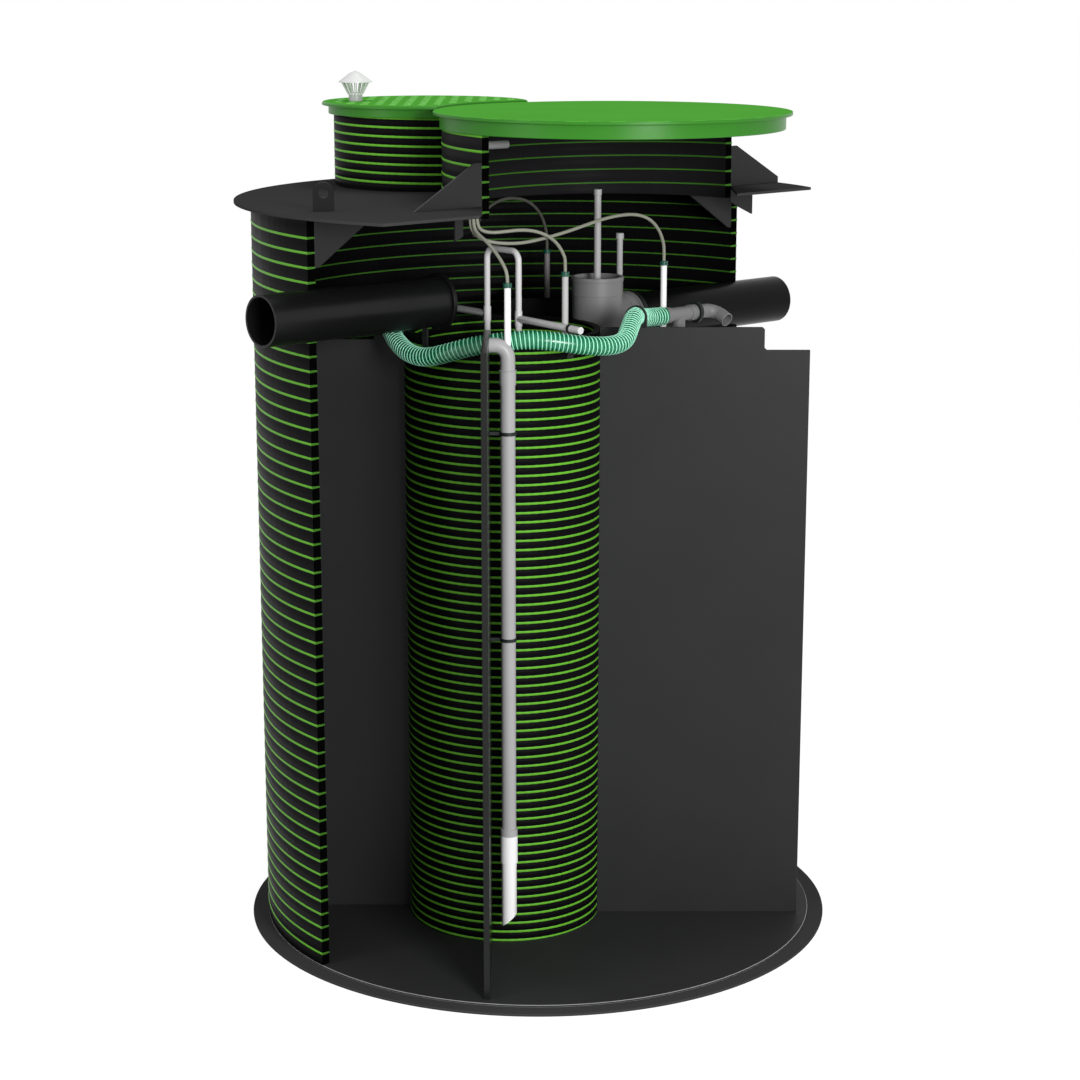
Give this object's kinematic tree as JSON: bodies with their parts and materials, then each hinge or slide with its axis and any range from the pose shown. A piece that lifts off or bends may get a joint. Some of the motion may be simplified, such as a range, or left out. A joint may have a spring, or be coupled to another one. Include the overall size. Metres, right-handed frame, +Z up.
{
  "type": "packaged sewage treatment plant",
  "caption": "Sectioned round underground sewage treatment tank with spiral-wound wall, lidded necks, inner column, partitions, pipes and hoses.",
  "frame": {"origin": "centre of the tank's base, on the ground", "axes": "+Z up; the picture is seen along +Y, +X to its right"},
  "size_m": [2.1149, 2.1148, 3.029],
  "materials": {
    "shell": "black spiral-wound wall",
    "plate": "dark grey plastic sheet",
    "lid_green": "green moulded plastic",
    "black_pipe": "black plastic pipe",
    "mid_grey": "mid grey plastic fitting",
    "light_grey": "light grey plastic pipe",
    "white": "white plastic pipe",
    "coupling_green": "dark green coupling",
    "hose_green": "green ribbed hose",
    "hose_beige": "beige air hose",
    "band": "black ring",
    "lug_grey": "dark grey plate"
  },
  "bodies": {
    "root": {"air_block": "mid_grey", "air_couplings": "coupling_green", "air_hose_back": "hose_beige", "air_hose_front": "hose_beige", "air_hose_middle": "hose_beige", "air_hose_right": "hose_beige", "air_pipe_back": "white", "air_pipe_front": "white", "air_pipe_middle": "white", "air_pipe_right": "white", "airlift_clips": "band", "airlift_foot": "white", "airlift_riser": "light_grey", "base_flange": "plate", "cross_partition": "plate", "discharge_pipe": "light_grey", "drain_elbow": "mid_grey", "drain_ring": "band", "drain_riser": "mid_grey", "drain_tee": "mid_grey", "feed_pipe": "light_grey", "floor_disc": "plate", "front_partition": "plate", "hose_clip": "band", "inlet_flange": "plate", "inlet_pipe": "black_pipe", "inner_column": "shell", "left_partition": "plate", "lifting_lug": "lug_grey", "loop_pipe": "light_grey", "main_lid": "lid_green", "main_neck": "shell", "neck_gussets": "plate", "neck_ribs": "plate", "neck_stub": "light_grey", "outlet_collar": "band", "outlet_pipe": "black_pipe", "outlet_tee": "mid_grey", "pipe_brackets": "plate", "rear_partition": "plate", "return_riser": "mid_grey", "right_partition": "plate", "shell_gussets": "plate", "shell_wall": "shell", "short_pipe": "light_grey", "small_lid": "lid_green", "small_neck": "shell", "suction_hose": "hose_green", "tall_pipe": "light_grey", "top_plate": "plate", "vent_cowl": "white", "vent_pipe": "light_grey"}
  },
  "joints": []
}
